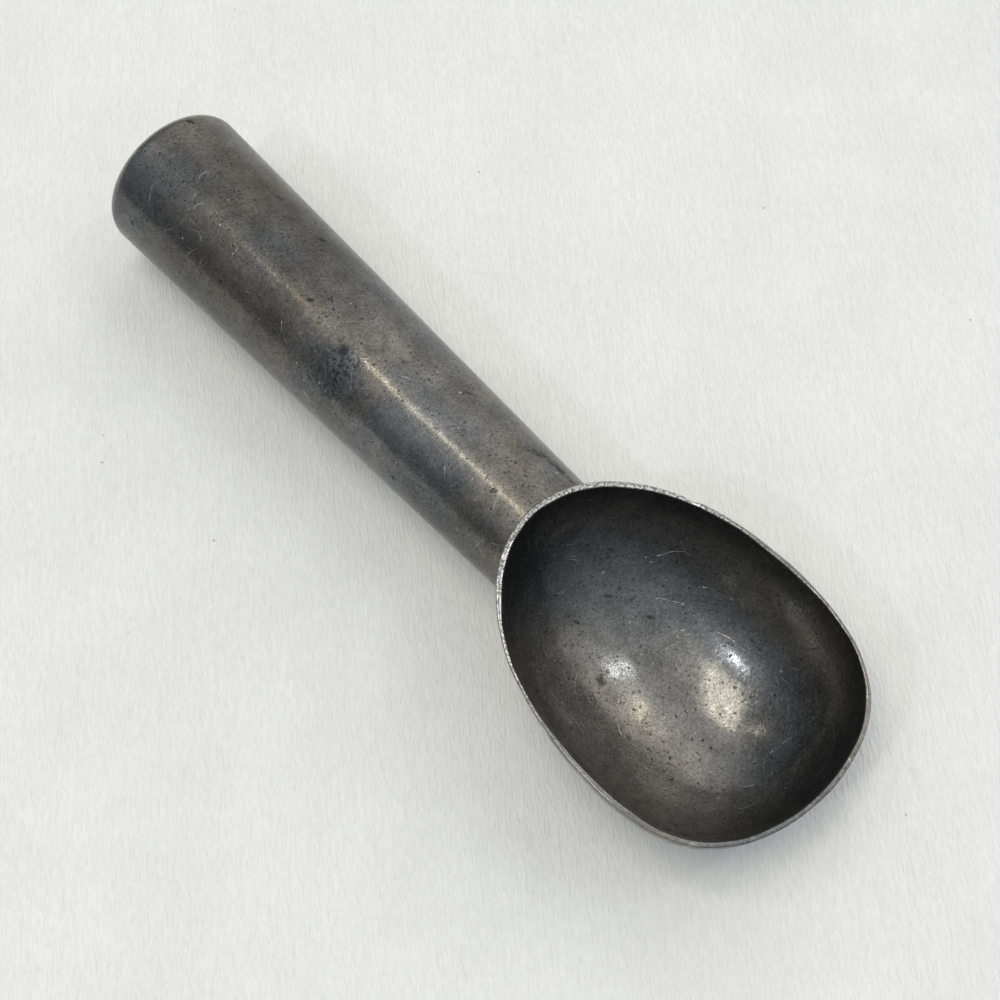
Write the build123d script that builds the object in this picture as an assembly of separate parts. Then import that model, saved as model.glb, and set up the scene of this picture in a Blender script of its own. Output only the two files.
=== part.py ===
from build123d import *
import math
import os

os.makedirs("parts", exist_ok=True)

# One-piece cast aluminium ice cream dipper with a sealed, liquid-filled handle.
# Millimetres and degrees. The dipper lies at rest on the plane z = 0, on the
# lower edge of its butt and on the bottom of its bowl. +X runs from the butt to
# the bowl, +Z is up, and y = 0 is the plane of symmetry. The origin is under
# the middle of the overall length.

overall_length = 184.0

# Handle: a straight taper from the butt to the neck.
butt_radius = 15.75
neck_radius = 12.15
neck_distance = 125.0
butt_edge_radius = 3.2

# Bowl: the lower half of an egg of revolution about the rim's long axis. Depth
# and thickness are measured square to the rim.
bowl_half_length = 34.6
bowl_half_width = 25.5
bowl_depth = 22.9
rim_land = 1.3
floor_thickness = 1.9
rim_pitch = 8.2
rim_step = 0.25
rim_edge_radius = 0.2

# Shape of the egg's outline: 0 for all three gives a plain ellipse.
egg_forward_swell = 0.11
egg_bluntness = 0.17
egg_front_fullness = 0.10
egg_outline_points = 13

# Sealed chamber in the handle, and the share of its height that is liquid.
handle_wall = 4.6
chamber_to_rim = 5.0
fill_level = 0.7

# Closure pressed into the butt over a rubber washer.
closure_radius = 12.2
closure_thickness = 3.6
closure_recess = 0.3
closure_edge_chamfer = 0.4
closure_clearance = 0.02
boss_radius = 9.0
boss_length = 4.5
washer_thickness = 1.6

# How far a cutting tool runs past the face that it cuts.
tool_overrun = 1.0


def cosd(angle):
    return math.cos(math.radians(angle))


def sind(angle):
    return math.sin(math.radians(angle))


def tand(angle):
    return math.tan(math.radians(angle))


# The outer egg is the bowl's egg with its wall around it.
outer_half_length = bowl_half_length + rim_land
outer_half_width = bowl_half_width + rim_land
outer_depth = bowl_depth + floor_thickness


def egg_point(turn, half_length, half_width):
    """Point on the egg's outline; turn 0 is the front tip, 180 the rear tip."""
    c = cosd(turn)
    swell = 1 + egg_forward_swell * c + egg_bluntness * c**2 + egg_front_fullness * c**3
    return half_length * c, half_width * sind(turn) * swell


def bowl_drop():
    """Distance from the middle of the rim down to the bowl's lowest point."""
    stretch = outer_depth / outer_half_width
    drops = []
    for turn in range(181):
        along, across = egg_point(turn, outer_half_length, outer_half_width)
        drops.append(along * sind(rim_pitch) + stretch * across * cosd(rim_pitch))
    return max(drops)


# The bowl rests on its lowest point, and its front tip ends the overall length.
rim_x = overall_length / 2 - outer_half_length * cosd(rim_pitch)
rim_z = bowl_drop()
rear_x = rim_x - outer_half_length * cosd(rim_pitch)
rear_z = rim_z + outer_half_length * sind(rim_pitch)

# The handle's top line reaches the rear of the rim one step below it, which
# sets the handle's pitch. The butt rests on its rounded edge, whose ring of arc
# centres has the radius edge_ring.
taper = math.degrees(math.atan((butt_radius - neck_radius) / neck_distance))
top_rise = rear_z - rim_step - 2 * butt_radius
top_run = rear_x + overall_length / 2
handle_pitch = taper + math.degrees(math.atan(top_rise / top_run))
edge_ring = butt_radius - butt_edge_radius * (tand(taper) + 1 / cosd(taper))
edge_back = butt_edge_radius * (1 - cosd(handle_pitch))
edge_up = butt_edge_radius * (1 - sind(handle_pitch))
butt_x = edge_ring * sind(handle_pitch) + edge_back - overall_length / 2
butt_z = edge_ring * cosd(handle_pitch) + edge_up

# Distances along the handle's axis from the butt's end face.
axis_to_rim = (rear_x - butt_x) / cosd(handle_pitch)
axis_to_bowl_middle = (rim_x - butt_x) / cosd(handle_pitch)
chamber_end = axis_to_rim - chamber_to_rim
closure_inner_face = closure_recess + closure_thickness
shoulder = closure_inner_face + washer_thickness

rim_place = Pos(rim_x, 0, rim_z) * Rot(0, rim_pitch, 0)
handle_place = Pos(butt_x, 0, butt_z) * Rot(0, -handle_pitch, 0)


def taper_radius(distance):
    """Outer radius of the handle at a distance from the butt's end face."""
    return butt_radius - distance * tand(taper)


def turned(*profile):
    """Solid turned about the handle's axis from a closed half profile."""
    return handle_place * revolve(make_face(profile), Axis.X, 360)


def ring(start, end, inner, outer):
    """Ring or disc about the handle's axis between two distances."""
    corners = [(start, inner), (end, inner), (end, outer), (start, outer)]
    return turned(Polyline(*corners, close=True))


def handle_solid():
    """Tapered rod with a rounded butt, running on into the bowl's egg."""
    edge_end = butt_edge_radius * (1 + sind(taper))
    edge_middle = (
        butt_edge_radius * (1 - cosd(45)),
        edge_ring + butt_edge_radius * sind(45),
    )
    edge = ThreePointArc((0, edge_ring), edge_middle, (edge_end, taper_radius(edge_end)))
    end = axis_to_bowl_middle
    rest = Polyline(edge @ 1, (end, taper_radius(end)), (end, 0), (0, 0), edge @ 0)
    return turned(edge, rest)


def half_egg(half_length, half_width, depth):
    """Half an egg of revolution, stretched to the depth under its flat top."""
    step = 180 / (egg_outline_points - 1)
    turns = [step * i for i in range(egg_outline_points)]
    outline = Spline(
        *[egg_point(turn, half_length, half_width) for turn in turns],
        tangents=[(0, 1), (0, -1)],
    )
    face = make_face([outline, Line(outline @ 1, outline @ 0)])
    half = revolve(face, Axis.X, -180)
    return rim_place * scale(half, by=(1, 1, depth / half_width))


def chamber_solid():
    """Space for the liquid, from the shoulder to a domed end before the bowl."""
    mouth = taper_radius(shoulder) - handle_wall
    throat = taper_radius(chamber_end) - handle_wall
    dome_start = chamber_end - throat
    side = Line((shoulder, mouth), (dome_start, throat))
    dome_middle = (dome_start + throat * cosd(45), throat * sind(45))
    dome = ThreePointArc(side @ 1, dome_middle, (chamber_end, 0))
    rest = Polyline(dome @ 1, (shoulder, 0), side @ 0)
    return turned(side, dome, rest)


def body_solid():
    """Casting: bowl and handle in one, with the counterbored chamber."""
    body = half_egg(outer_half_length, outer_half_width, outer_depth) + handle_solid()
    size = 4 * outer_half_length
    over_rim = rim_place * Pos(0, 0, size / 2) * Box(size, size, size)
    body = body - over_rim - half_egg(bowl_half_length, bowl_half_width, bowl_depth)
    rim = body.faces().sort_by(Axis.Z)[-1]
    body = fillet(rim.edges(), rim_edge_radius)
    return body - chamber_solid() - ring(-tool_overrun, shoulder, 0, closure_radius)


def closure_solid():
    """Chamfered plug with a boss that carries the washer."""
    radius = closure_radius - closure_clearance
    corners = [
        (closure_recess, 0),
        (closure_inner_face + boss_length, 0),
        (closure_inner_face + boss_length, boss_radius),
        (closure_inner_face, boss_radius),
        (closure_inner_face, radius),
        (closure_recess + closure_edge_chamfer, radius),
        (closure_recess, radius - closure_edge_chamfer),
    ]
    return turned(Polyline(*corners, close=True))


def liquid_solid():
    """Charge of liquid, lying level in the chamber under an air gap."""
    space = chamber_solid() - closure_solid()
    bounds = space.bounding_box()
    level = bounds.min.Z + fill_level * bounds.size.Z
    size = 2 * overall_length
    return space - Pos(0, 0, level + size / 2) * Box(size, size, size)


scoop_body = body_solid()
end_plug = closure_solid()
plug_washer = ring(closure_inner_face, shoulder, boss_radius, closure_radius)
heat_liquid = liquid_solid()

export_step(scoop_body, "parts/scoop_body.step")
export_step(end_plug, "parts/end_plug.step")
export_step(plug_washer, "parts/plug_washer.step")
export_step(heat_liquid, "parts/heat_liquid.step")
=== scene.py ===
import math
from typing import NamedTuple

import bpy
import numpy as np
from mathutils import Matrix, Vector


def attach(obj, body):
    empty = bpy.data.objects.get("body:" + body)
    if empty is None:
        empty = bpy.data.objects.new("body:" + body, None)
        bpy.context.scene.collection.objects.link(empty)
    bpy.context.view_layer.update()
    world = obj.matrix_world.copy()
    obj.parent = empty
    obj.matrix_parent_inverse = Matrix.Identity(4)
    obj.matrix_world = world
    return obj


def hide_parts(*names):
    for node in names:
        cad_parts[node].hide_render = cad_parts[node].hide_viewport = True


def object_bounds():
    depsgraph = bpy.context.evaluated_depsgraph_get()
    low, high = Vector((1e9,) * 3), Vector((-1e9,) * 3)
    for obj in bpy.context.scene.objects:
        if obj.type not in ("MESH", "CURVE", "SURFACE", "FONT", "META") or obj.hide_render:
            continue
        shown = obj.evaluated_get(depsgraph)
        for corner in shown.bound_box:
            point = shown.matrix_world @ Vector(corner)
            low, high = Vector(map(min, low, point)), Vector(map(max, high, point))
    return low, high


# A one-piece cast aluminium ice cream dipper, old and worn, on a pale floor.
# Metres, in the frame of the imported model: +X runs from the butt to the bowl, +Z
# is up, and the dipper lies on z = 0. Two skins, the bowl and the handle, stand
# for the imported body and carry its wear; the other pieces keep their meshes.
# Angles are in radians, except where a comment says that they are in degrees.

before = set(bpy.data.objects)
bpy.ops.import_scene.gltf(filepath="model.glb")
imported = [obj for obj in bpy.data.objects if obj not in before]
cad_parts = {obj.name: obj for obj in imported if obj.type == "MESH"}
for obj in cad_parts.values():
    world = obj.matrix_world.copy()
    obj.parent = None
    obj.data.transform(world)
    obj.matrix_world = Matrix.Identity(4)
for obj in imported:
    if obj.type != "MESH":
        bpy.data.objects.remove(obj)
cad_low, cad_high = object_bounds()

# ---------------------------------------------------------------- driving sizes

OVERALL_LENGTH = cad_high.x - cad_low.x

BUTT_RADIUS = 0.01575
NECK_RADIUS = 0.01215
NECK_DISTANCE = 0.125
BUTT_EDGE_RADIUS = 0.0032
TAPER = (BUTT_RADIUS - NECK_RADIUS) / NECK_DISTANCE
TAPER_ANGLE = math.atan(TAPER)

# Radius of the ring on which the centres of the butt's rounded edge lie.
EDGE_RING = BUTT_RADIUS - BUTT_EDGE_RADIUS * (TAPER + 1 / math.cos(TAPER_ANGLE))

BOWL_SEMI_AXES = (0.0346, 0.0255, 0.0229)
RIM_LAND = 0.0013
FLOOR_THICKNESS = 0.0019
RIM_PITCH = math.radians(8.2)
RIM_STEP = 0.00025
INNER_EDGE_RADIUS = 0.00034
OUTER_EDGE_RADIUS = 0.00028
OUTER_SEMI_AXES = (
    BOWL_SEMI_AXES[0] + RIM_LAND,
    BOWL_SEMI_AXES[1] + RIM_LAND,
    BOWL_SEMI_AXES[2] + FLOOR_THICKNESS,
)

# Shape of the egg's outline, as powers of the forward component of a direction.
EGG_SWELL = (1.0, 0.11, 0.17, 0.10)

HANDLE_WALL = 0.0046
CHAMBER_TO_RIM = 0.005
CLOSURE_RADIUS = 0.0122
SHOULDER = 0.0055
BORE_EDGE = 0.0002

# Turns about the rim's axis start at the front tip and pass the +Y side first.
# The bowl is a little askew, and use has worn its rim on the inside, the outside
# and the top. Each loss has its least and its most depth and a shift of its
# waves. A few thin places and chips have a turn and a spread, both in degrees,
# and a depth. The outside is unworn where the handle meets it.
BOWL_SKEW = 0.0125
INNER_LOSS = (0.0, 0.00024, 1.0)
OUTER_LOSS = (0.00008, 0.00032, 2.0)
TOP_LOSS = (0.0, 0.0001, 3.0)
WAVE_COUNTS = (5, 9, 14, 23)
THIN_PLACES = ((247, 14, 0.0005), (60, 16, 0.0004))
CHIPS = (
    (121, 1.3, 0.0003), (205, 0.8, 0.0002), (262, 1.0, 0.00022), (318, 0.9, 0.00018),
)
NECK_IS_UNWORN = math.radians(28)
SIDES_ARE_WORN = math.radians(50)

# The neck's fillet is widest under the bowl and dies out at the rim. Its toe, on
# the bowl, rises above the cone by a share of its size.
NECK_FILLET = 0.0042
NECK_FILLET_LEAST = 0.0002
FILLET_STARTS = math.radians(18)
FILLET_IS_FULL = math.radians(105)
TOE_RISE = 0.75


# ------------------------------------------------------------- the part's frame

def direction(turn, drop):
    """Unit vectors at a turn about the rim's axis and a drop below its plane."""
    turn, drop = np.broadcast_arrays(turn, drop)
    return np.stack(
        [np.cos(turn) * np.cos(drop), np.sin(turn) * np.cos(drop), -np.sin(drop)],
        axis=-1,
    )


def swell(forward):
    """How much wider than an ellipse the egg is, for a forward component."""
    return sum(factor * forward**power for power, factor in enumerate(EGG_SWELL))


def egg(unit, semi_axes):
    """Points of an egg, in the rim's frame, for unit vectors."""
    length, width, depth = semi_axes
    forward, sideways, upward = unit[..., 0], unit[..., 1], unit[..., 2]
    wide = swell(forward)
    return np.stack(
        [length * forward, width * wide * sideways, depth * wide * upward], axis=-1
    )


def egg_unit(points, semi_axes):
    """The inverse of egg: vectors longer than 1 for points outside of it."""
    length, width, depth = semi_axes
    forward = points[..., 0] / length
    wide = swell(np.clip(forward, -1, 1))
    return np.stack(
        [forward, points[..., 1] / (width * wide), points[..., 2] / (depth * wide)],
        axis=-1,
    )


# Points along the keel, from tip to bottom, in the search for the lowest one.
KEEL_POINTS = 181


def place_rim():
    """Matrix from the rim's frame to the part's: the bowl rests on its floor."""
    tilt = Matrix.Rotation(RIM_PITCH, 4, "Y")
    drops = np.linspace(0, math.pi / 2, KEEL_POINTS)
    keel = np.concatenate(
        [egg(direction(turn, drops), OUTER_SEMI_AXES) for turn in (0, math.pi)]
    )
    height = -min((tilt @ Vector(point)).z for point in keel)
    reach = OUTER_SEMI_AXES[0] * math.cos(RIM_PITCH)
    return Matrix.Translation((OVERALL_LENGTH / 2 - reach, 0, height)) @ tilt


def place_handle(rim_place):
    """Matrix from the handle's frame, at its butt, and the distance to the rim."""
    rear = rim_place @ Vector((-OUTER_SEMI_AXES[0], 0, 0))
    rise = rear.z - RIM_STEP - 2 * BUTT_RADIUS
    pitch = TAPER_ANGLE + math.atan(rise / (rear.x + OVERALL_LENGTH / 2))
    back = BUTT_EDGE_RADIUS * (1 - math.cos(pitch))
    up = BUTT_EDGE_RADIUS * (1 - math.sin(pitch))
    butt = Vector((
        EDGE_RING * math.sin(pitch) + back - OVERALL_LENGTH / 2,
        0,
        EDGE_RING * math.cos(pitch) + up,
    ))
    place = Matrix.Translation(butt) @ Matrix.Rotation(-pitch, 4, "Y")
    return place, (rear.x - butt.x) / math.cos(pitch)


SQUARE_RIM_PLACE = place_rim()
HANDLE_PLACE, AXIS_TO_RIM = place_handle(SQUARE_RIM_PLACE)
SKEW = Matrix((
    (1, BOWL_SKEW, 0, 0),
    (BOWL_SKEW, 1, 0, 0),
    (0, 0, 1, 0),
    (0, 0, 0, 1),
))
RIM_PLACE = SQUARE_RIM_PLACE @ SKEW
HANDLE_TO_RIM = RIM_PLACE.inverted() @ HANDLE_PLACE


def moved(points, place):
    """Points of an array, moved by a matrix."""
    turn = np.array(place.to_3x3())
    return points @ turn.T + np.array(place.translation)


def eased(value, start, end):
    """Smooth step from 0 at start to 1 at end."""
    share = np.clip((value - start) / (end - start), 0, 1)
    return share**2 * (3 - 2 * share)


# ---------------------------------------------------------------------- meshes

SHARP_ANGLE = math.radians(40)


class Row(NamedTuple):
    """A ring of points, or a pole, with how rubbed bright it is and how far inside the
    bowl it lies.

    That share is 1 inside the bowl, fades over the rim's inner edge and is 0 outside.
    """

    points: np.ndarray
    wear: np.ndarray | float = 0.0
    bowl_inside: float = 0.0


def skin_faces(rows):
    """Faces between each row and the next; a row of one point is a pole."""
    starts = np.cumsum([0] + [len(row.points) for row in rows])
    faces = []
    for low, high, row, following in zip(starts, starts[1:], rows, rows[1:]):
        count = max(len(row.points), len(following.points))
        for i in range(count):
            j = (i + 1) % count
            corners = [low + i, low + j, high + j, high + i]
            if len(row.points) == 1:
                corners = [low, high + j, high + i]
            if len(following.points) == 1:
                corners = [low + i, low + j, high]
            faces.append(corners)
    return faces


def skin(name, rows):
    """Closed mesh from rows of points, with their wear and stain."""
    faces = skin_faces(rows)
    mesh = bpy.data.meshes.new(name)
    mesh.from_pydata(np.concatenate([row.points for row in rows]).tolist(), [], faces)
    for field in ("wear", "bowl_inside"):
        values = [np.broadcast_to(getattr(row, field), len(row.points)) for row in rows]
        values = np.concatenate(values).astype(np.float32)
        mesh.attributes.new(field, "FLOAT", "POINT").data.foreach_set("value", values)
    mesh.polygons.foreach_set("use_smooth", [True] * len(faces))
    mesh.update()
    mesh.set_sharp_from_angle(angle=SHARP_ANGLE)
    return mesh


# ------------------------------------------------------------------------ bowl

BOWL_COLUMNS = 480
WALL_ROWS = 70
EDGE_ROWS = 7
LAND_ROWS = 5

# The rim's wear fades down the wall by a power of the drop's cosine. Its two
# rounded edges shrink where they would take up more than a share of the land.
WEAR_FADE = 4
EDGES_SHARE = 0.8

# How bright use has rubbed the rim: fully at the neck's inner edge, and less on
# its outer edge, its land and its sides.
OUTER_EDGE_WEAR = 0.6
LAND_WEAR = 0.5
SIDE_WEAR = 0.12
NECK_IS_BRIGHT = math.radians(55)
SIDES_ARE_DULL = math.radians(85)

UP = np.array([0, 0, 1.0])


class WallSide(NamedTuple):
    """One side of the bowl's wall, up to its rounded edge at the rim."""

    semi_axes: tuple
    edge_radius: float
    to_land: np.ndarray
    worn: np.ndarray
    wear: np.ndarray
    bowl_inside: float


def wavy_loss(turn, least, most, shift):
    """Depth lost all round the rim, in smooth waves."""
    waves = sum(np.sin(count * (turn + shift)) for count in WAVE_COUNTS)
    return least + (most - least) * (0.5 + waves / (2 * len(WAVE_COUNTS)))


def places_lost(turn, places):
    """Depth lost at turns to a few worn places."""
    loss = np.zeros_like(turn)
    for middle, spread, depth in places:
        away = (turn - math.radians(middle) + math.pi) % (2 * math.pi) - math.pi
        loss += depth * np.exp(-((away / math.radians(spread)) ** 2) / 2)
    return loss


def rim_losses(turn):
    """Metal lost at the rim's inside, outside and top."""
    chips = places_lost(turn, CHIPS)
    from_neck = np.abs(turn - math.pi)
    inner = wavy_loss(turn, *INNER_LOSS) + places_lost(turn, THIN_PLACES)
    outer = wavy_loss(turn, *OUTER_LOSS) + chips
    outer = outer * eased(from_neck, NECK_IS_UNWORN, SIDES_ARE_WORN)
    top = wavy_loss(turn, *TOP_LOSS) + chips / 2
    return [loss[:, None] for loss in (inner, outer, top)]


def wall_rows(turn, side):
    """Rows of one side of the wall, from its pole to where its edge starts."""
    top = math.asin(side.edge_radius / side.semi_axes[2])
    drops = np.linspace(math.pi / 2, top, WALL_ROWS)
    rows = [Row(egg(direction(0.0, drops[:1]), side.semi_axes), bowl_inside=side.bowl_inside)]
    for drop in drops[1:]:
        points = egg(direction(turn, drop), side.semi_axes)
        points = points + side.worn * math.cos(drop) ** WEAR_FADE
        rows.append(Row(points, bowl_inside=side.bowl_inside))
    return rows


def edge_rows(turn, side, shrink):
    """Rows of one side's rounded edge, on towards the land."""
    rim = egg(direction(turn, 0.0), side.semi_axes) + side.worn
    rows = []
    for angle in np.linspace(0, math.pi / 2, EDGE_ROWS)[1:]:
        share = math.sin(angle)
        back = side.to_land * (1 - math.cos(angle)) - UP * (1 - share)
        points = rim + shrink * side.edge_radius * back
        rows.append(Row(points, side.wear * share, side.bowl_inside * (1 - share)))
    return rows


def bowl_rows():
    """Rows of the bowl from its inner pole over the rim to its outer pole."""
    turn = np.linspace(0, 2 * math.pi, BOWL_COLUMNS, endpoint=False)
    level = direction(turn, 0.0)
    outward = egg(level, OUTER_SEMI_AXES) - egg(level, BOWL_SEMI_AXES)
    outward /= np.linalg.norm(outward, axis=1, keepdims=True)
    inner_loss, outer_loss, top_loss = rim_losses(turn)
    land_width = RIM_LAND - inner_loss - outer_loss
    edges_width = INNER_EDGE_RADIUS + OUTER_EDGE_RADIUS
    shrink = np.minimum(1, EDGES_SHARE * land_width / edges_width)
    rubbed = eased(np.abs(turn - math.pi), SIDES_ARE_DULL, NECK_IS_BRIGHT)
    rubbed = SIDE_WEAR + (1 - SIDE_WEAR) * rubbed

    inside = WallSide(
        BOWL_SEMI_AXES, INNER_EDGE_RADIUS, to_land=outward,
        worn=outward * inner_loss - UP * top_loss, wear=rubbed, bowl_inside=1,
    )
    outside = WallSide(
        OUTER_SEMI_AXES, OUTER_EDGE_RADIUS, to_land=-outward,
        worn=-outward * outer_loss - UP * top_loss,
        wear=OUTER_EDGE_WEAR * rubbed, bowl_inside=0,
    )
    inner, outer = [
        wall_rows(turn, side) + edge_rows(turn, side, shrink)
        for side in (inside, outside)
    ]
    land = []
    for share in np.linspace(0, 1, LAND_ROWS)[1:-1]:
        points = inner[-1].points * (1 - share) + outer[-1].points * share
        land.append(Row(points, LAND_WEAR * rubbed))
    rows = inner + land + outer[::-1]
    return [row._replace(points=moved(row.points, RIM_PLACE)) for row in rows]


# ---------------------------------------------------------------------- handle

HANDLE_ROWS = 120
FILLET_ROWS = 14
BUTT_EDGE_ROWS = 13
DOME_ROWS = 13
BUTT_EDGE_WEAR = 0.20

# Turns about the handle's axis, from its top towards +Y.
AROUND = np.linspace(0, 2 * math.pi, 256, endpoint=False)

# Where the search for the egg's surface starts and ends, from the rim along the
# axis, the halvings it takes, and the step for the egg's slope.
SEARCH_FROM = -0.002
SEARCH_TO = 0.030
HALVINGS = 50
SLOPE_STEP = 1e-6

# The cap in the bowl's wall: how far its first row spreads out and lies below
# the bowl's skin, its other rows as shares of the way to its middle, and how far
# below the rim it stays, as a part of the egg's depth.
CAP_SPREAD = -0.03
CAP_SINK = 0.00004
CAP_SHARES = (0.0, 0.35, 0.7)
CAP_DROP = 0.012


def cone_radius(distance):
    return BUTT_RADIUS - distance * TAPER


def ring_points(distance, radius):
    """Points about the handle's axis, in its own frame."""
    distance = np.broadcast_to(distance, AROUND.shape)
    radius = np.broadcast_to(radius, AROUND.shape)
    return np.stack(
        [distance, radius * np.sin(AROUND), radius * np.cos(AROUND)], axis=-1
    )


def handle_row(distance, radius, wear=0.0):
    return Row(moved(ring_points(distance, radius), HANDLE_PLACE), wear)


def outside_egg(distance, radius):
    """Above 0 where a ring about the axis is outside the outer egg."""
    points = moved(ring_points(distance, radius), HANDLE_TO_RIM)
    return np.linalg.norm(egg_unit(points, OUTER_SEMI_AXES), axis=-1) - 1


def meets_egg(radius_at):
    """Distances along the axis at which lines along it reach the outer egg."""
    low = np.full_like(AROUND, AXIS_TO_RIM + SEARCH_FROM)
    high = np.full_like(AROUND, AXIS_TO_RIM + SEARCH_TO)
    for _ in range(HALVINGS):
        middle = (low + high) / 2
        outside = outside_egg(middle, radius_at(middle)) > 0
        low = np.where(outside, middle, low)
        high = np.where(outside, high, middle)
    return (low + high) / 2


def neck_fillet():
    """Heel, corner and toe of the neck's fillet, as distances and radii."""
    from_top = np.abs((AROUND + math.pi) % (2 * math.pi) - math.pi)
    grown = eased(from_top, FILLET_STARTS, FILLET_IS_FULL)
    fillet = NECK_FILLET_LEAST + (NECK_FILLET - NECK_FILLET_LEAST) * grown
    toe_radius = cone_radius(meets_egg(cone_radius)) + TOE_RISE * fillet
    toe = meets_egg(lambda distance: toe_radius)

    # The corner is where the egg's tangent at the toe meets the cone.
    along = outside_egg(toe + SLOPE_STEP, toe_radius)
    along -= outside_egg(toe - SLOPE_STEP, toe_radius)
    across = outside_egg(toe, toe_radius + SLOPE_STEP)
    across -= outside_egg(toe, toe_radius - SLOPE_STEP)
    drop = toe_radius - cone_radius(toe)
    corner = toe + drop * across / (along - TAPER * across)
    heel = corner - np.hypot(toe - corner, toe_radius - cone_radius(corner))
    return (heel, cone_radius(heel)), (corner, cone_radius(corner)), (toe, toe_radius)


def chamber_rows():
    """Rows of the bore: the chamber's dome and wall, shoulder, counterbore, edge."""
    chamber_end = AXIS_TO_RIM - CHAMBER_TO_RIM
    throat = cone_radius(chamber_end) - HANDLE_WALL
    dome_start = chamber_end - throat
    rows = [Row(moved(np.array([[chamber_end, 0.0, 0.0]]), HANDLE_PLACE))]
    for angle in np.linspace(0, math.pi / 2, DOME_ROWS)[1:]:
        distance = dome_start + throat * math.cos(angle)
        rows.append(handle_row(distance, throat * math.sin(angle)))
    rows.append(handle_row(SHOULDER, cone_radius(SHOULDER) - HANDLE_WALL))
    rows.append(handle_row(SHOULDER, CLOSURE_RADIUS))
    rows.append(handle_row(BORE_EDGE, CLOSURE_RADIUS))
    rows.append(handle_row(0.0, CLOSURE_RADIUS + BORE_EDGE))
    return rows


def butt_rows():
    """Rows of the butt's rounded edge, rubbed bright at its middle."""
    rows = []
    for angle in np.linspace(0, math.pi / 2 + TAPER_ANGLE, BUTT_EDGE_ROWS):
        away = BUTT_EDGE_RADIUS * (1 - math.cos(angle))
        radius = EDGE_RING + BUTT_EDGE_RADIUS * math.sin(angle)
        wear = BUTT_EDGE_WEAR * math.sin(min(2 * angle, math.pi))
        rows.append(handle_row(away, radius, wear))
    return rows


def neck_rows():
    """Rows of the taper and of the fillet that runs up on to the bowl."""
    knots = neck_fillet()
    heel = knots[0][0]
    edge_end = BUTT_EDGE_RADIUS * (1 + math.sin(TAPER_ANGLE))
    rows = []
    for share in np.linspace(0, 1, HANDLE_ROWS)[1:]:
        distance = edge_end + share * (heel - edge_end)
        rows.append(handle_row(distance, cone_radius(distance)))
    for t in np.linspace(0, 1, FILLET_ROWS)[1:]:
        weights = ((1 - t) ** 2, 2 * t * (1 - t), t**2)
        distance, radius = [
            sum(weight * knot[axis] for weight, knot in zip(weights, knots))
            for axis in (0, 1)
        ]
        rows.append(handle_row(distance, radius))
    return rows


def neck_cap(last):
    """Rows that close the handle inside the bowl's wall, where nothing shows."""
    unit = egg_unit(moved(last, RIM_PLACE.inverted()), OUTER_SEMI_AXES)
    sunk = tuple(a - CAP_SINK for a in OUTER_SEMI_AXES)
    middle = tuple((a + b) / 2 for a, b in zip(BOWL_SEMI_AXES, OUTER_SEMI_AXES))
    centre = unit.mean(axis=0)
    centre = centre / np.linalg.norm(centre)
    rows = []
    for share, semi_axes in [(CAP_SPREAD, sunk)] + [(s, middle) for s in CAP_SHARES]:
        blended = unit * (1 - share) + centre * share
        blended = blended / np.linalg.norm(blended, axis=1, keepdims=True)
        blended[:, 2] = np.minimum(blended[:, 2], -CAP_DROP)
        rows.append(Row(moved(egg(blended, semi_axes), RIM_PLACE)))
    rows.append(Row(moved(egg(centre[None, :], middle), RIM_PLACE)))
    return rows


def handle_rows():
    """Rows of the handle from the neck over its outside and butt to the chamber."""
    rows = chamber_rows() + butt_rows() + neck_rows()
    rows += neck_cap(rows[-1].points)
    return rows[::-1]


# ------------------------------------------------------------------- materials

# The part of its range that a noise really uses, the share of a pit's radius
# that is its floor, and the sockets of a mix node for numbers and for colours:
# the first of its two values, and its output.
NOISE_RANGE = (0.36, 0.64)
PIT_FLOOR = 0.6
NUMBER_SOCKETS = (2, 0)
COLOUR_SOCKETS = (6, 2)

# Detail of the noises behind patches, and behind those that push positions about.
PATCH_DETAIL = 3
WARP_DETAIL = 2


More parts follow.
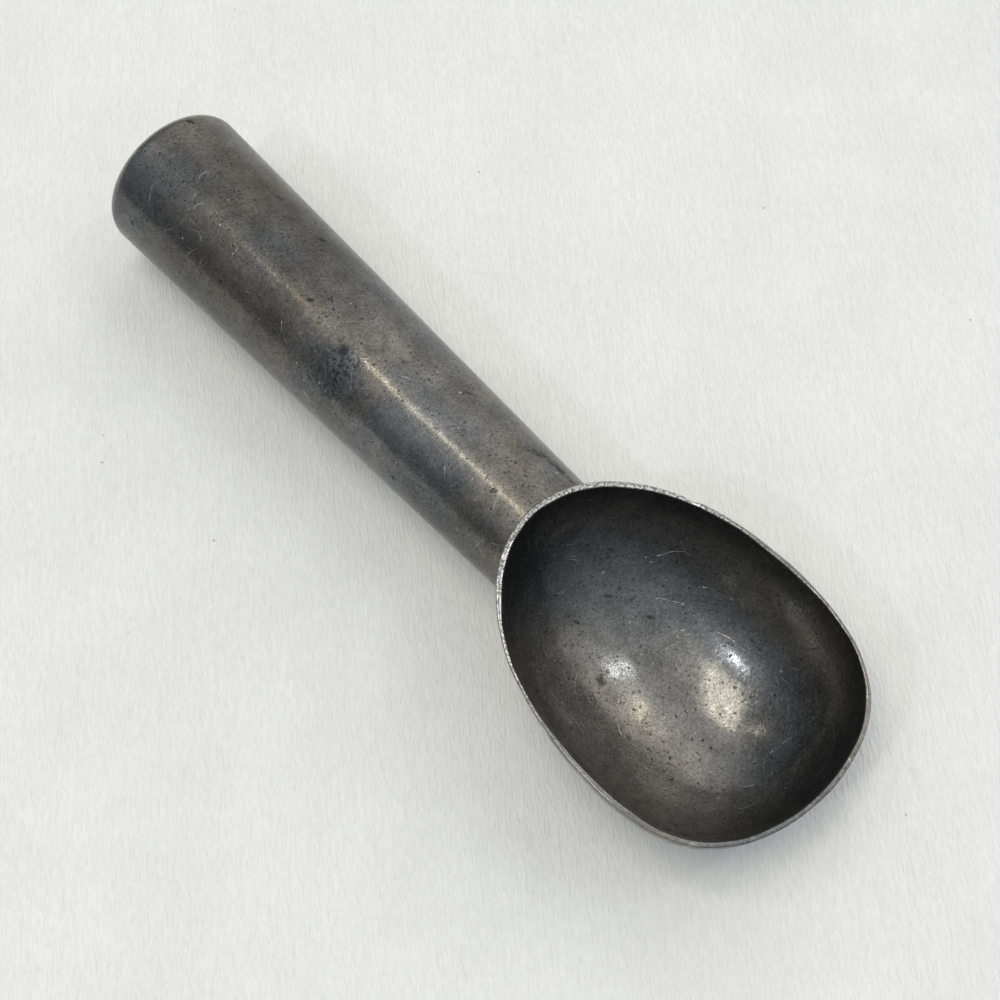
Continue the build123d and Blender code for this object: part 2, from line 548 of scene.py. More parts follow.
class Nodes:
    """Short calls for building a node tree.

    Positions and lengths are in metres, a noise's scale is per metre, and a mask
    is a number from 0 to 1.
    """

    def __init__(self, tree):
        self.tree = tree

    def add(self, kind, settings=None, **inputs):
        node = self.tree.nodes.new(kind)
        for key, value in (settings or {}).items():
            setattr(node, key, value)
        for key, value in inputs.items():
            self.feed(node.inputs[key.replace("_", " ")], value)
        return node

    def feed(self, socket, value):
        """Link a socket's value, or set a constant, as the input of another."""
        if isinstance(value, bpy.types.NodeSocket):
            self.tree.links.new(value, socket)
        else:
            socket.default_value = value

    def feed_all(self, node, *values):
        for socket, value in zip(node.inputs, values):
            self.feed(socket, value)

    def place(self):
        """Position on the part, in its own frame."""
        return self.add("ShaderNodeTexCoord").outputs["Object"]

    def attribute(self, name):
        return self.add("ShaderNodeAttribute", {"attribute_name": name}).outputs["Fac"]

    def math(self, operation, *values):
        node = self.add("ShaderNodeMath", {"operation": operation})
        self.feed_all(node, *values)
        return node.outputs[0]

    def product(self, first, *others):
        for value in others:
            first = self.math("MULTIPLY", first, value)
        return first

    def most(self, first, *others):
        for value in others:
            first = self.math("MAXIMUM", first, value)
        return first

    def vector(self, operation, *values, output="Vector"):
        node = self.add("ShaderNodeVectorMath", {"operation": operation})
        self.feed_all(node, *values)
        return node.outputs[output]

    def scaled(self, vector, factor):
        node = self.add("ShaderNodeVectorMath", {"operation": "SCALE"})
        self.feed(node.inputs[0], vector)
        self.feed(node.inputs["Scale"], factor)
        return node.outputs[0]

    def ramp(self, value, low, high, to_low=0.0, to_high=1.0):
        """Smooth step between two values; low may be the larger one."""
        node = self.add("ShaderNodeMapRange", {"interpolation_type": "SMOOTHSTEP"})
        self.feed_all(node, value, low, high, to_low, to_high)
        return node.outputs[0]

    def level(self, mask, off, on):
        """Number that eases from off to on as a mask goes from 0 to 1."""
        return self.ramp(mask, 0, 1, off, on)

    def between(self, data_type, sockets, share, first, second):
        start, output = sockets
        node = self.add("ShaderNodeMix", {"data_type": data_type})
        self.feed(node.inputs[0], share)
        self.feed(node.inputs[start], first)
        self.feed(node.inputs[start + 1], second)
        return node.outputs[output]

    def blend(self, share, first, second):
        """Number that goes from first to second as share goes from 0 to 1."""
        return self.between("FLOAT", NUMBER_SOCKETS, share, first, second)

    def mix(self, share, first, second):
        """Colour that goes from first to second as share goes from 0 to 1."""
        return self.between("RGBA", COLOUR_SOCKETS, share, first, second)

    def noise(self, position, scale, detail=4.0, roughness=0.55, output=0):
        return self.add(
            "ShaderNodeTexNoise", Vector=position, Scale=scale, Detail=detail,
            Roughness=roughness,
        ).outputs[output]

    def cloud(self, position, scale, spread, detail=4.0, roughness=0.55):
        """Noise as a factor from 1 - spread to 1 + spread."""
        value = self.noise(position, scale, detail, roughness)
        return self.ramp(value, *NOISE_RANGE, 1 - spread, 1 + spread)

    def patches(self, position, scale, start, end):
        """Noise as a mask: 0 below start and 1 above end."""
        return self.ramp(self.noise(position, scale, PATCH_DETAIL), start, end)

    def warped(self, position, scale, reach):
        """Position pushed about by a noise, by up to half the reach."""
        wobble = self.noise(position, scale, WARP_DETAIL, output="Color")
        wobble = self.vector("SUBTRACT", wobble, (0.5, 0.5, 0.5))
        return self.vector("ADD", position, self.scaled(wobble, reach))

    def within(self, position, origin=(0, 0, 0), turn=(0, 0, 0), stretch=(1, 1, 1)):
        """Position in a frame of its own, where patterns are stretched by factors."""
        return self.add(
            "ShaderNodeMapping", {"vector_type": "TEXTURE"}, Vector=position,
            Location=origin, Rotation=turn, Scale=stretch,
        ).outputs[0]

    def cells(self, position, scale, feature="F1"):
        return self.add(
            "ShaderNodeTexVoronoi", {"feature": feature}, Vector=position, Scale=scale
        )

    def tint(self, position, scale):
        """A random number for each of many small cells."""
        return self.cells(position, scale).outputs["Color"]

    def pits(self, position, spacing, radius, sparse):
        """Round pits, about a spacing apart, in the cells whose tint passes sparse."""
        cells = self.cells(position, 1 / spacing)
        reach = radius / spacing
        inside = self.ramp(cells.outputs["Distance"], reach, PIT_FLOOR * reach)
        chosen = self.math("GREATER_THAN", cells.outputs["Color"], sparse)
        return self.product(inside, chosen)

    def hairlines(self, position, spacing, width):
        """Thin lines where planes about a spacing apart cut the surface."""
        edges = self.cells(position, 1 / spacing, "DISTANCE_TO_EDGE")
        return self.ramp(edges.outputs["Distance"], width / spacing, 0.0)

    def near(self, position, centre, radius, firm=0.4):
        """1 around a point and 0 beyond a radius; firm is the share that is all 1."""
        away = self.vector("DISTANCE", position, centre, output="Value")
        return self.ramp(away, radius, firm * radius)

    def shell(self, position, centre, radius, width):
        """1 on a ball's surface and 0 beyond half a width from it."""
        away = self.vector("DISTANCE", position, centre, output="Value")
        off = self.math("ABSOLUTE", self.math("SUBTRACT", away, radius))
        return self.ramp(off, width / 2, 0.0)

    def bump(self, *layers):
        """Normal from pairs of a height from 0 to 1 and its size in metres."""
        normal = None
        for height, size in layers:
            node = self.add("ShaderNodeBump", Distance=size, Height=height)
            node.inputs["Strength"].default_value = 1.0
            if normal:
                self.feed(node.inputs["Normal"], normal)
            normal = node.outputs[0]
        return normal


def new_material(name, helper=Nodes):
    """Empty node material, its helper and its Principled shader."""
    material = bpy.data.materials.new(name)
    material.use_nodes = True
    material.node_tree.nodes.clear()
    nodes = helper(material.node_tree)
    shader = nodes.add("ShaderNodeBsdfPrincipled")
    output = nodes.add("ShaderNodeOutputMaterial")
    material.node_tree.links.new(shader.outputs[0], output.inputs["Surface"])
    return material, nodes, shader


def set_surface(n, shader, colour, roughness, *relief):
    """Feed a shader its colour, its roughness and the layers of its relief."""
    n.feed(shader.inputs["Base Color"], colour)
    n.feed(shader.inputs["Roughness"], roughness)
    n.feed(shader.inputs["Normal"], n.bump(*relief))


# ------------------------------------------------------- the casting's own marks

class Spot(NamedTuple):
    """Round mark or area: middle and radius in millimetres, and how much is even."""

    middle: tuple
    radius: float
    firm: float


class Arc(NamedTuple):
    """Line where a ball cuts the surface, in millimetres, and where it shows."""

    centre: tuple
    radius: float
    shown: Spot


# Broad areas: painted shade on the handle's side towards the butt and on the side of
# the neck, a matt and a bluish pitted area on top of the handle, the bowl's hazy side,
# which is rougher and carries painted light, and painted shade on the bowl's right.
HANDLE_SIDE_SHADE = Spot((-60.0, -9.0, 22.0), 45, 0.3)
NECK_SIDE_SHADE = Spot((8.0, -14.0, 18.0), 22, 0.2)
HANDLE_MATT = Spot((-32.0, -3.0, 30.5), 13, 0.3)
HANDLE_PITTING = Spot((-26.5, -8.2, 28.5), 11.5, 0.1)
BOWL_HAZE_AND_PAINTED_LIGHT = Spot((58.0, -24.0, 10.0), 42, 0.35)
BOWL_RIGHT_SHADE = Spot((76.0, 10.5, 6.0), 15, 0.3)

# Marks that stand out: a burnt blot on the handle, a dent beside the neck, bare
# nicks, and in the bowl a blotch, two rings, pits, brushed strokes and arcs, each
# arc a bright line with a painted shadow along it.
HANDLE_BLOT = Spot((-27.5, -4.6, 30.3), 2.1, 0.2)
NECK_DENT = Arc((17.5, 0.5, 33.0), 10.5, Spot((14.2, 8.8, 27.4), 6.8, 0.7))
HANDLE_NICKS = (
    (-12.0, 5.4, 30.0), (-6.0, 5.6, 29.8), (3.8, 8.5, 27.8), (17.7, 8.0, 28.2),
)
BOWL_BLOTCH = Spot((46.7, -8.3, 6.7), 1.4, 0.3)
BOWL_RINGS = ((48.4, -12.2, 7.8), (51.2, -7.5, 5.2))
BOWL_PITS = (
    (65.1, -2.7, 2.1), (66.5, -1.3, 2.0), (68.6, -1.3, 2.0), (65.2, -8.4, 3.3),
    (68.5, -11.2, 4.3), (60.0, -19.6, 10.6), (69.9, 13.3, 5.4), (60.0, -1.9, 2.5),
    (60.5, 0.2, 2.4), (61.5, 1.7, 2.3),
)
BOWL_STROKES = ((57.5, 11.7, 5.4), (63.3, 12.0, 4.8), (66.6, 10.8, 4.1))
BOWL_ARCS = (
    Arc((59.7, -3.9, 0.2), 26.9, Spot((61.5, 20.5, 11.4), 8.0, 0.3)),
    Arc((60.0, -1.0, 8.1), 20.4, Spot((48.0, 15.0, 9.8), 9.0, 0.3)),
    Arc((60.0, -1.0, 8.1), 19.6, Spot((50.0, 15.5, 9.8), 6.0, 0.3)),
    Arc((58.6, 21.0, 14.5), 6.0, Spot((53.0, 19.8, 12.6), 5.0, 0.3)),
)

# Sizes of those marks in metres: radii of the round ones, a ring's radius and
# width, and widths of the dent and of an arc's shadow and its bright line.
NICK_RADIUS = 0.0004
BOWL_PIT_RADIUS = 0.0004
STROKE_RADIUS = 0.0026
BOWL_RING = (0.0010, 0.0008)
DENT_WIDTH = 0.0028
ARC_SHADOW_WIDTH = 0.0012
ARC_LINE_WIDTH = 0.0004

# How far noises push the outlines of marks about: a scale and a reach.
ROUGH_EDGES = (1500, 0.0007)
RAGGED_BLOT = (450, 0.0016)
RAGGED_PITTING = (250, 0.010)
RAGGED_DENT = (700, 0.0018)
RAGGED_BLOTCH = (1000, 0.0026)
WOBBLY_RINGS = (900, 0.0016)
BENT_SCRATCHES = (60, 0.006)
WANDERING = (45, 0.012)

# Patches where a pattern shows: a scale, and the noise's values where the pattern
# starts and where it is whole.
WARM_PATCHES = (40, 0.40, 0.62)
LONG_PIT_PATCHES = (85, 0.44, 0.58)
DENT_PATCHES = (380, 0.40, 0.52)
ARC_PATCHES = (700, 0.36, 0.52)
SCRATCH_PATCHES = (150, 0.55, 0.62)
SHORT_SCRATCH_PATCHES = (230, 0.56, 0.64)
STROKE_PATCHES = (2200, 0.54, 0.62)
FLECK_PATCHES = (2000, 0.56, 0.66)

# Pits scattered at random: a spacing, a radius, and how sparse they are.
FINE_PITS = (0.0011, 0.00028, 0.42)
SMALL_PITS = (0.0026, 0.00040, 0.54)
LONG_PITS = (0.0034, 0.00060, 0.5)
PITTING_HOLES = (0.0010, 0.00036, 0.55)
SMALL_NICKS = (0.0031, 0.00028, 0.58)

# Mottling of the handle's pitted area: a scale and detail, then the values between
# which it changes and what it changes from and to.
MOTTLING = (1250, 3)
MOTTLING_STEP = (0.44, 0.62, 0.25, 1.0)

# Scratches: a spacing and a width.
LONG_SCRATCHES = (0.013, 0.00011)
SHORT_SCRATCHES = (0.006, 0.00010)

# Turns, in radians, that keep patterns apart, and how far some are stretched.
SMALL_PITS_TURN = (0.8, 0.5, 0.3)
SMALL_NICKS_TURN = (0.5, 0.1, 0.9)
SHORT_SCRATCHES_TURN = (0.9, 0.4, 0.2)
LONG_PITS_FRAME = {"turn": (0.3, 0.2, 0.7), "stretch": (2.2, 1, 1)}
STROKES_FRAME = {"turn": (0, 0, 0.12), "stretch": (1, 9, 1)}
FLECKS_FRAME = {"turn": (0, 0, 0.5), "stretch": (1, 3, 1)}


def from_mm(point):
    """A point in metres, from one in millimetres."""
    return tuple(value / 1000 for value in point)


class Casting(Nodes):
    """Node tree of the old casting, with what its marks and tones share."""

    def __init__(self, tree):
        super().__init__(tree)
        self.at = self.place()
        self.in_bowl = self.attribute("bowl_inside")
        self.rough_edges = self.warped(self.at, *ROUGH_EDGES)
        self.wandering = self.warped(self.at, *WANDERING)
        self.pitted = self.spot(self.warped(self.at, *RAGGED_PITTING), HANDLE_PITTING)
        # The haze mask makes the bowl's grain rougher and carries painted light in its
        # tone.
        self.haze_and_painted_light = self.spot(self.wandering, BOWL_HAZE_AND_PAINTED_LIGHT)

    def spot(self, position, spot):
        return self.near(position, from_mm(spot.middle), spot.radius / 1000, spot.firm)

    def spots(self, position, points, radius):
        """A few round spots of one radius, in metres, at points in millimetres."""
        return self.most(*[self.near(position, from_mm(p), radius) for p in points])

    def arc(self, position, arc, width, patches):
        """An arc of a width, in metres, broken into patches."""
        return self.product(
            self.shell(position, from_mm(arc.centre), arc.radius / 1000, width),
            self.spot(self.at, arc.shown),
            self.patches(self.at, *patches),
        )

    def bowl_arcs(self, width):
        return self.most(
            *[self.arc(self.at, arc, width, ARC_PATCHES) for arc in BOWL_ARCS]
        )


def scattered_pits(n):
    """Fine pits everywhere, in two sizes."""
    turned = n.within(n.rough_edges, turn=SMALL_PITS_TURN)
    return n.most(n.pits(n.rough_edges, *FINE_PITS), n.pits(turned, *SMALL_PITS))


def long_pits(n):
    """Larger and longer pits, in patches."""
    stretched = n.within(n.rough_edges, **LONG_PITS_FRAME)
    return n.product(n.pits(stretched, *LONG_PITS), n.patches(n.at, *LONG_PIT_PATCHES))


def handle_pitting(n):
    """Mottling with holes in it, on top of the handle."""
    mottling = n.ramp(n.noise(n.rough_edges, *MOTTLING), *MOTTLING_STEP)
    return n.product(n.pitted, n.most(mottling, n.pits(n.rough_edges, *PITTING_HOLES)))


def handle_blot(n):
    return n.spot(n.warped(n.rough_edges, *RAGGED_BLOT), HANDLE_BLOT)


def neck_dent(n):
    return n.arc(n.warped(n.at, *RAGGED_DENT), NECK_DENT, DENT_WIDTH, DENT_PATCHES)


def bowl_pits(n):
    return n.spots(n.rough_edges, BOWL_PITS, BOWL_PIT_RADIUS)


def bowl_blotch(n):
    return n.spot(n.warped(n.at, *RAGGED_BLOTCH), BOWL_BLOTCH)


def bowl_rings(n):
    wobbly = n.warped(n.at, *WOBBLY_RINGS)
    return n.most(*[n.shell(wobbly, from_mm(p), *BOWL_RING) for p in BOWL_RINGS])


def dark_marks(n):
    """Mask of the dark marks, each with its own strength: soot in pits, a blot, the
    pitting, a blotch and rings, a dark line along the dent, and painted shadow along
    the bowl's arcs.
    """
    marks = (
        (scattered_pits(n), 0.6), (long_pits(n), 0.75), (handle_blot(n), 0.85),
        (handle_pitting(n), 0.84), (neck_dent(n), 0.85), (bowl_pits(n), 0.8),
        (bowl_blotch(n), 0.7), (bowl_rings(n), 0.35),
        # The wide dark band along each arc is a painted shadow.
        (n.bowl_arcs(ARC_SHADOW_WIDTH), 0.45),
    )
    return n.most(*[n.product(mark, strength) for mark, strength in marks])


def scratches(n):
    """Hairline scratches, long and short, in patches."""
    bent = n.warped(n.at, *BENT_SCRATCHES)
    turned = n.within(bent, turn=SHORT_SCRATCHES_TURN)
    return n.most(
        n.product(
            n.hairlines(bent, *LONG_SCRATCHES), n.patches(n.at, *SCRATCH_PATCHES)
        ),
        n.product(
            n.hairlines(turned, *SHORT_SCRATCHES),
            n.patches(n.at, *SHORT_SCRATCH_PATCHES),
        ),
    )


def nicks(n):
    """Bare nicks, a few at named places and small ones everywhere."""
    turned = n.within(n.rough_edges, turn=SMALL_NICKS_TURN)
    return n.most(
        n.spots(n.rough_edges, HANDLE_NICKS, NICK_RADIUS), n.pits(turned, *SMALL_NICKS)
    )


def bowl_strokes(n):
    """Short brushed strokes on the right of the bowl."""
    brushed = n.patches(n.within(n.at, **STROKES_FRAME), *STROKE_PATCHES)
    return n.product(brushed, n.spots(n.at, BOWL_STROKES, STROKE_RADIUS))


def bowl_flecks(n):
    flecks = n.patches(n.within(n.rough_edges, **FLECKS_FRAME), *FLECK_PATCHES)
    return n.product(flecks, n.in_bowl)


def light_marks(n, scratched):
    """Mask of all that shows bare metal; each mark has its own strength."""
    marks = (
        (scratched, 0.40), (nicks(n), 0.7), (bowl_strokes(n), 0.55),
        (n.bowl_arcs(ARC_LINE_WIDTH), 0.22), (bowl_flecks(n), 0.14),
    )
    return n.most(*[n.product(mark, strength) for mark, strength in marks])


# ------------------------------------------------------- the casting's own tones

# Tones of the old casting, from bare metal to soot in its pits. The soot's tone
# also colours the painted shadow along the bowl's arcs.
COOL_METAL = (0.164, 0.168, 0.172, 1)
WARM_METAL = (0.190, 0.178, 0.160, 1)
RUBBED_METAL = (0.82, 0.815, 0.80, 1)
BARE_METAL = (0.46, 0.455, 0.44, 1)
SOOT_AND_SHADOW = (0.020, 0.021, 0.024, 1)
BLUE_SOOT = (0.014, 0.020, 0.032, 1)

# Clouds in the tone: a scale, a spread, and the noise's detail and roughness. A step
# has the values between which it changes, and what it changes from and to.
BROAD_CLOUDS = (60, 0.09, 3)
FINE_CLOUDS = (250, 0.14, 5, 0.7)
SPECKLE_SCALE = 3400
SPECKLE_STEP = (0.2, 0.8, 0.80, 1.20)
WORN_SKIN = (2400, 3)
WORN_SKIN_STEP = (0.43, 0.54, 0.1, 1.0)

# Factors of the painted light and shade off and on each broad area, and how warm the
# painted light in the bowl's haze is.
HAZE_PAINTED_LIGHT = (0.86, 1.32)
BOWL_RIGHT_PAINTED_SHADE = (1.0, 0.6)
HANDLE_SIDE_PAINTED_SHADE = (1.05, 0.72)
NECK_SIDE_PAINTED_SHADE = (1.0, 0.72)
HAZE_PAINTED_WARM_LIGHT = 0.8

# Smooth metal and etched grain lie side by side, finer than the eye resolves.
# Each has its own roughness off and on the handle's matt area and the bowl's haze.
GRAIN_SCALE = 16000
GRAIN_RANGE = (0.32, 0.68)
HANDLE_SMOOTH = (0.16, 0.34)
HANDLE_ETCHED = 0.50
BOWL_SMOOTH = 0.15
BOWL_ETCHED = (0.46, 0.64)
SOOT_ROUGHNESS = 0.15

# Relief: the noises' scale, detail and roughness, and how deep each one is.
DENTS = (70, 2, 0.4)
DENTS_DEPTH = 0.00014
CAST_GRAIN = (420, 1, 0.5)
CAST_GRAIN_DEPTH = 0.000022
MARKS_DEPTH = 0.00004


def mottled_tone(n):
    """Factor of the tone, from broad clouds to fine speckle."""
    speckle = n.tint(n.at, SPECKLE_SCALE)
    return n.product(
        n.cloud(n.at, *BROAD_CLOUDS),
        n.cloud(n.at, *FINE_CLOUDS),
        n.ramp(speckle, *SPECKLE_STEP),
    )


def painted_light_and_shade(n):
    """Factor of painted light and shade: painted light makes the bowl palest in its
    haze and painted shade makes it darkest on its right; painted shade darkens the
    handle towards the butt and beside the bowl."""
    # Painted shade on the bowl's right.
    bowl_right_shade = n.spot(n.wandering, BOWL_RIGHT_SHADE)
    # Painted light in the bowl's haze.
    bowl = n.product(n.level(n.haze_and_painted_light, *HAZE_PAINTED_LIGHT), n.level(bowl_right_shade, *BOWL_RIGHT_PAINTED_SHADE))
    # Painted shade on the handle's side towards the butt.
    handle_side_shade = n.spot(n.wandering, HANDLE_SIDE_SHADE)
    # Painted shade on the side of the neck, beside the bowl.
    neck = n.spot(n.wandering, NECK_SIDE_SHADE)
    handle = n.product(n.level(handle_side_shade, *HANDLE_SIDE_PAINTED_SHADE), n.level(neck, *NECK_SIDE_PAINTED_SHADE))
    return n.blend(n.in_bowl, handle, bowl)


def metal_colour(n):
    """Cool and warm grey in patches on the handle, and painted warm light in the bowl's
    haze.
    """
    patches = n.patches(n.at, *WARM_PATCHES)
    handle = n.product(patches, n.level(n.pitted, 1, 0))
    warmth = n.blend(n.in_bowl, handle, n.product(n.haze_and_painted_light, HAZE_PAINTED_WARM_LIGHT))
    metal = n.mix(warmth, COOL_METAL, WARM_METAL)
    return n.scaled(metal, n.product(mottled_tone(n), painted_light_and_shade(n)))


def rubbed_metal(n):
    """Mask of what use has rubbed bright, broken up by what is left of the skin."""
    broken = n.ramp(n.noise(n.at, *WORN_SKIN), *WORN_SKIN_STEP)
    return n.product(n.attribute("wear"), broken)


def casting_roughness(n, dark):
    """Roughness from grain to grain, and a little more in dark marks."""
    matt = n.spot(n.wandering, HANDLE_MATT)
    smooth = n.blend(n.in_bowl, n.level(matt, *HANDLE_SMOOTH), BOWL_SMOOTH)
    etched = n.blend(n.in_bowl, HANDLE_ETCHED, n.level(n.haze_and_painted_light, *BOWL_ETCHED))
    roughness = n.ramp(n.tint(n.at, GRAIN_SCALE), *GRAIN_RANGE, smooth, etched)
    return n.math("ADD", roughness, n.product(dark, SOOT_ROUGHNESS))


def cast_aluminium():
    """Old cast aluminium: mottled grey, pitted, scratched, bright where rubbed."""
    material, n, shader = new_material("aged_cast_aluminium", Casting)
    dark = dark_marks(n)
    scratched = scratches(n)
    colour = n.mix(dark, metal_colour(n), n.mix(n.pitted, SOOT_AND_SHADOW, BLUE_SOOT))
    colour = n.mix(light_marks(n, scratched), colour, BARE_METAL)
    colour = n.mix(rubbed_metal(n), colour, RUBBED_METAL)
    whole = n.math("SUBTRACT", 1.0, n.most(dark, scratched))
    set_surface(
        n, shader, colour, casting_roughness(n, dark),
        (n.noise(n.at, *DENTS), DENTS_DEPTH),
        (n.noise(n.at, *CAST_GRAIN), CAST_GRAIN_DEPTH),
        (whole, MARKS_DEPTH),
    )
    shader.inputs["Metallic"].default_value = 1.0
    return material


# -------------------------------------------------- plug, washer, liquid and floor

# What is used here follows the casting's: patches, edges that are pushed about,
# clouds, noises with their depth as relief, and pairs of values off and on a mask.
PLUG_METAL = (0.270, 0.266, 0.256, 1)
PLUG_METAL_DARK = (0.190, 0.189, 0.184, 1)
PLUG_GRIME = (0.070, 0.066, 0.060, 1)
PLUG_CLOUDS = (900, 0.10, 3)
PLUG_ROUGHNESS = (0.30, 0.48)
PLUG_RELIEF = (500, 3)
PLUG_RELIEF_DEPTH = 0.00004
GRIME_EDGES = (900, 0.0015)
GRIME_PATCHES = (260, 0.40, 0.66)
GRIME_SHARE = 0.30
EDGE_DIRT_WIDTH = 0.0014
EDGE_DIRT_SHARE = 0.8
LATHE_RINGS = (2400, 2)
LATHE_RINGS_RANGE = (0.35, 0.65)
LATHE_RINGS_DEPTH = 0.00006


def turned_aluminium():
    """Plug that was faced on a lathe: fine rings about the handle's axis, grimy."""
    material, n, shader = new_material("turned_aluminium")
    place = n.place()
    origin = tuple(HANDLE_PLACE.translation)
    across = n.within(place, origin, tuple(HANDLE_PLACE.to_euler()))
    radius = n.vector("LENGTH", n.vector("MULTIPLY", across, (0, 1, 1)), output="Value")
    rings = n.noise(n.scaled((1, 1, 1), radius), *LATHE_RINGS)
    grime = n.patches(n.warped(place, *GRIME_EDGES), *GRIME_PATCHES)
    edge_dirt = n.ramp(
        radius, CLOSURE_RADIUS - EDGE_DIRT_WIDTH, CLOSURE_RADIUS, 0, EDGE_DIRT_SHARE
    )
    colour = n.mix(n.ramp(rings, *LATHE_RINGS_RANGE), PLUG_METAL_DARK, PLUG_METAL)
    colour = n.mix(n.most(n.product(grime, GRIME_SHARE), edge_dirt), colour, PLUG_GRIME)
    colour = n.scaled(colour, n.cloud(place, *PLUG_CLOUDS))
    set_surface(
        n, shader, colour, n.level(grime, *PLUG_ROUGHNESS),
        (rings, LATHE_RINGS_DEPTH), (n.noise(place, *PLUG_RELIEF), PLUG_RELIEF_DEPTH),
    )
    shader.inputs["Metallic"].default_value = 1.0
    return material


RUBBER = (0.022, 0.021, 0.020, 1)
RUBBER_DUST = (0.07, 0.065, 0.06, 1)
RUBBER_ROUGHNESS = (0.55, 0.8)
RUBBER_RELIEF = (1800, 3)
RUBBER_RELIEF_DEPTH = 0.00004
DUST_PATCHES = (700, 0.45, 0.65)


def washer_rubber():
    """Black rubber, hardened and dusty with age."""
    material, n, shader = new_material("washer_rubber")
    place = n.place()
    dust = n.patches(place, *DUST_PATCHES)
    set_surface(
        n, shader, n.mix(dust, RUBBER, RUBBER_DUST), n.level(dust, *RUBBER_ROUGHNESS),
        (n.noise(place, *RUBBER_RELIEF), RUBBER_RELIEF_DEPTH),
    )
    return material


LIQUID = (0.86, 0.83, 0.72, 1)
LIQUID_CLEAR = (0.93, 0.91, 0.84, 1)
LIQUID_IOR = 1.36
EDDIES = (60, 0.01)
SWIRL = (120, 4)
SWIRL_RANGE = (0.3, 0.7)
SWIRL_ROUGHNESS = (0.02, 0.06)
SWIRL_DEPTH = 0.00002


def clear_liquid():
    """The sealed liquid, faintly amber and cloudy."""
    material, n, shader = new_material("clear_liquid")
    swirl = n.noise(n.warped(n.place(), *EDDIES), *SWIRL)
    roughness = n.ramp(swirl, *SWIRL_RANGE, *SWIRL_ROUGHNESS)
    colour = n.mix(swirl, LIQUID, LIQUID_CLEAR)
    set_surface(n, shader, colour, roughness, (swirl, SWIRL_DEPTH))
    shader.inputs["IOR"].default_value = LIQUID_IOR
    shader.inputs["Transmission Weight"].default_value = 1.0
    return material


BOARD = (0.830, 0.851, 0.851, 1)
BOARD_PALE = (0.893, 0.914, 0.914, 1)
BOARD_CLOUDS = (35, 0.02, 4)
BOARD_ROUGHNESS = (0.7, 0.85)
BOARD_SPECULAR = 0.2
FIBRE_STRETCH = (4.5, 1, 1)
FIBRE_WAVER = (400, 0.0016)
STRANDS = (1900, 2, 0.6)
STRANDS_RANGE = (0.3, 0.7)
STRANDS_DEPTH = 0.00028
SPECKS = (0.006, 0.00034, 0.62)
SPECK = (0.30, 0.28, 0.25, 1)
SPECK_SHARE = 0.7
SPECK_EDGES = (1200, 0.001)
SPECK_PATCHES = (40, 0.4, 0.6)


def pale_board(along):
    """Pale board with a faint brushed fibre and a few specks of dust."""
    material, n, shader = new_material("pale_board")
    place = n.place()
    fibre = n.within(place, turn=(0, 0, along), stretch=FIBRE_STRETCH)
    strands = n.noise(n.warped(fibre, *FIBRE_WAVER), *STRANDS)
    specks = n.product(
        n.pits(n.warped(place, *SPECK_EDGES), *SPECKS), n.patches(place, *SPECK_PATCHES)
    )
    colour = n.mix(n.ramp(strands, *STRANDS_RANGE), BOARD, BOARD_PALE)
    colour = n.scaled(colour, n.cloud(place, *BOARD_CLOUDS))
    colour = n.mix(n.product(specks, SPECK_SHARE), colour, SPECK)
    roughness = n.ramp(strands, *STRANDS_RANGE, *BOARD_ROUGHNESS)
    set_surface(n, shader, colour, roughness, (strands, STRANDS_DEPTH))
    shader.inputs["Specular IOR Level"].default_value = BOARD_SPECULAR
    return material


# --------------------------------------------------- pieces, floor, light, camera

# The camera's distance, aim and angles set the view of the part.
LENS = 72.0
SENSOR = 36.0
VIEW_AZIMUTH = math.radians(144.39)
VIEW_DROP = math.radians(65.12)
VIEW_ROLL = math.radians(-6.92)
VIEW_DISTANCE = 0.39214
VIEW_AIM = Vector((0.00403, 0.00443, 0))

FLOOR_HALF = 40.0
LAMP_DISTANCE = 5.0
COOL_LIGHT = (0.90, 0.96, 1.0)
WARM_LIGHT = (1.0, 0.90, 0.73)


class Lamp(NamedTuple):
    """Rectangular lamp that faces the dipper. All its angles are in degrees: where
    it is, its turn about the line to the dipper, and how wide and high it looks."""

    azimuth: float
    elevation: float
    roll: float
    size: tuple
    radiance: float
    colour: tuple


LAMPS = {
    "cool_right": Lamp(57.4, 54.0, 34, (2.5, 16), 12.5, COOL_LIGHT),
    "cool_left": Lamp(-85.5, 52.8, 12, (2.5, 3.6), 68.0, COOL_LIGHT),
    "warm_back": Lamp(78.5, 51.6, 30, (3.5, 16), 4.2, WARM_LIGHT),
    "warm_top": Lamp(-106, 78.6, 38, (15, 30), 6.1, WARM_LIGHT),
    "warm_left": Lamp(-154, 65.0, 8, (4.5, 12), 7.2, WARM_LIGHT),
}

# The room's radiance low down, and what it gains overhead, between two elevations,
# and within an angle of a direction on the far side. These angles are in degrees.
LOW_RADIANCE = 0.22
OVERHEAD_GAIN = 0.45
OVERHEAD = (12, 75)
FAR_SIDE_GAIN = 0.68
FAR_SIDE = (99, 28)
FAR_SIDE_EDGE = 52
COOL_ROOM = (0.93, 0.975, 1.03, 1)
WARM_ROOM = (1.0, 0.95, 0.88, 1)


def add_object(name, data):
    """Object of the scene for a mesh, a lamp or a camera."""
    made = bpy.data.objects.new(name, data)
    bpy.context.scene.collection.objects.link(made)
    return made


def add_skin(name, rows, material, node):
    """Object for a skin that rides on the root body and stands for a CAD node."""
    mesh = skin(name, rows)
    mesh.materials.append(material)
    piece = add_object(name, mesh)
    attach(piece, "root")
    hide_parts(node)


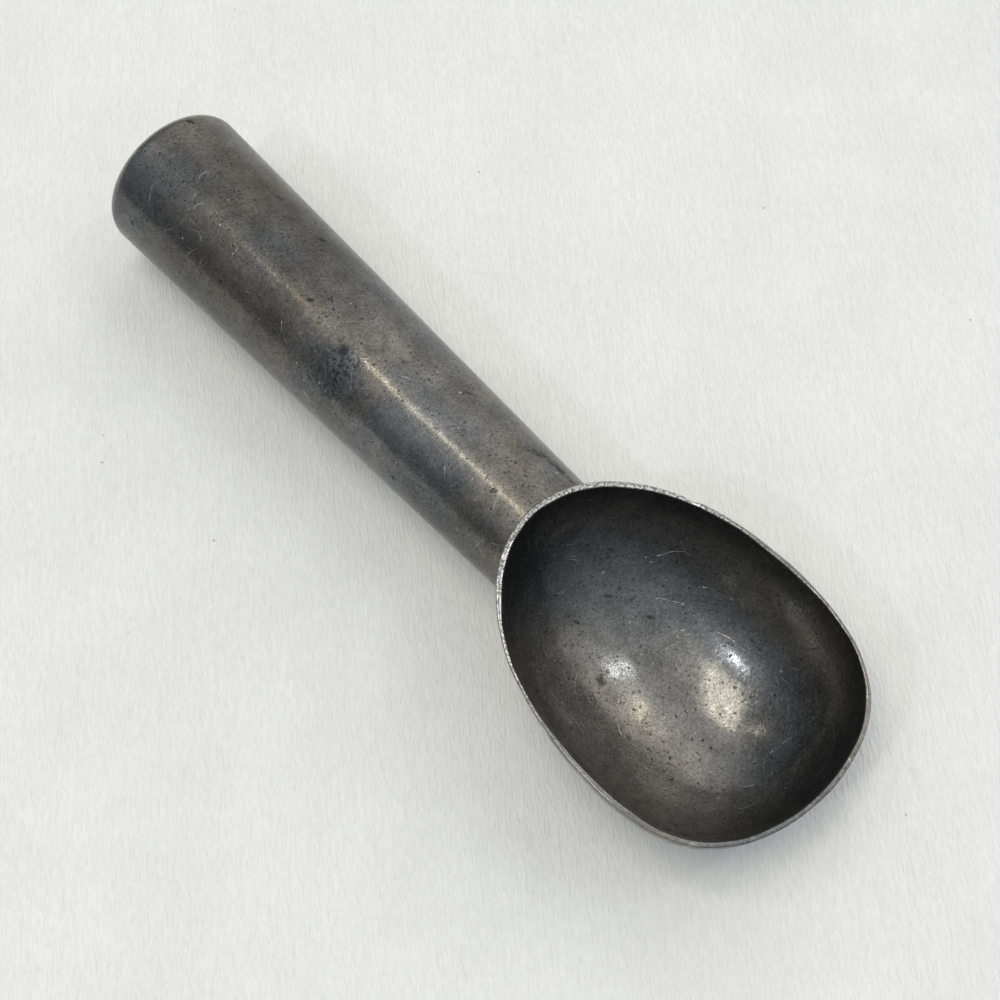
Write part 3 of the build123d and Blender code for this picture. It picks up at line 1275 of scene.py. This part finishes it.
def add_floor():
    """Level floor that reaches past every view; its fibre runs along the view."""
    mesh = bpy.data.meshes.new("floor")
    half = FLOOR_HALF
    corners = [(-half, -half, 0), (half, -half, 0), (half, half, 0), (-half, half, 0)]
    mesh.from_pydata(corners, [], [(0, 1, 2, 3)])
    mesh.materials.append(pale_board(VIEW_AZIMUTH))
    floor = add_object("floor", mesh)


def compass(azimuth, elevation):
    """Unit vector towards an azimuth from +X and an elevation, in degrees."""
    a = math.radians(azimuth)
    e = math.radians(elevation)
    return Vector((math.cos(e) * math.cos(a), math.cos(e) * math.sin(a), math.sin(e)))


def add_lamp(name, lamp):
    """Area light of a lamp, at the lamps' one distance."""
    data = bpy.data.lights.new(name, "AREA")
    data.shape = "RECTANGLE"
    data.size, data.size_y = [
        2 * LAMP_DISTANCE * math.tan(math.radians(angle / 2)) for angle in lamp.size
    ]
    data.energy = lamp.radiance * math.pi * data.size * data.size_y
    data.color = lamp.colour
    towards = compass(lamp.azimuth, lamp.elevation)
    turn = towards.to_track_quat("Z", "Y").to_matrix().to_4x4()
    turn = turn @ Matrix.Rotation(math.radians(lamp.roll), 4, "Z")
    made = add_object(name, data)
    made.matrix_world = Matrix.Translation(towards * LAMP_DISTANCE) @ turn


def add_room():
    """Room light that is dim low down and paler overhead and on the far side."""
    world = bpy.data.worlds.new("room")
    world.use_nodes = True
    n = Nodes(world.node_tree)
    background = world.node_tree.nodes["Background"]
    towards = n.add("ShaderNodeTexCoord").outputs["Generated"]
    facing = n.vector("DOT_PRODUCT", towards, tuple(compass(*FAR_SIDE)), output="Value")
    far = n.ramp(facing, math.cos(math.radians(FAR_SIDE_EDGE)), 1.0)
    height = n.vector("DOT_PRODUCT", towards, (0, 0, 1), output="Value")
    start, end = [math.sin(math.radians(angle)) for angle in OVERHEAD]
    overhead = n.ramp(height, start, end, LOW_RADIANCE, LOW_RADIANCE + OVERHEAD_GAIN)
    strength = n.math("ADD", n.product(far, FAR_SIDE_GAIN), overhead)
    n.feed(background.inputs["Strength"], strength)
    n.feed(background.inputs["Color"], n.mix(far, COOL_ROOM, WARM_ROOM))
    bpy.context.scene.world = world


def add_camera():
    """The photograph's view: an azimuth, a drop below the level and a roll."""
    forward = Vector((
        math.cos(VIEW_DROP) * math.cos(VIEW_AZIMUTH),
        math.cos(VIEW_DROP) * math.sin(VIEW_AZIMUTH),
        -math.sin(VIEW_DROP),
    ))
    level_right = Vector((math.sin(VIEW_AZIMUTH), -math.cos(VIEW_AZIMUTH), 0))
    level_up = level_right.cross(forward)
    right = math.cos(VIEW_ROLL) * level_right + math.sin(VIEW_ROLL) * level_up
    up = right.cross(forward)
    data = bpy.data.cameras.new("camera")
    data.lens = LENS
    data.sensor_width = SENSOR
    camera = add_object("camera", data)
    turn = Matrix((right, up, -forward)).transposed().to_4x4()
    camera.matrix_world = Matrix.Translation(VIEW_AIM - forward * VIEW_DISTANCE) @ turn
    bpy.context.scene.camera = camera


# ----------------------------------------------------------------------- scene

body_metal = cast_aluminium()
add_skin("bowl_skin", bowl_rows(), body_metal, "scoop_body")
add_skin("handle_skin", handle_rows(), body_metal, "scoop_body")

finishes = {
    "end_plug": turned_aluminium(),
    "plug_washer": washer_rubber(),
    "heat_liquid": clear_liquid(),
}
for node, material in finishes.items():
    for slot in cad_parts[node].material_slots:
        slot.material = material

add_floor()
for name, lamp in LAMPS.items():
    add_lamp(name, lamp)
add_room()
add_camera()
bpy.context.scene.view_settings.view_transform = "Standard"
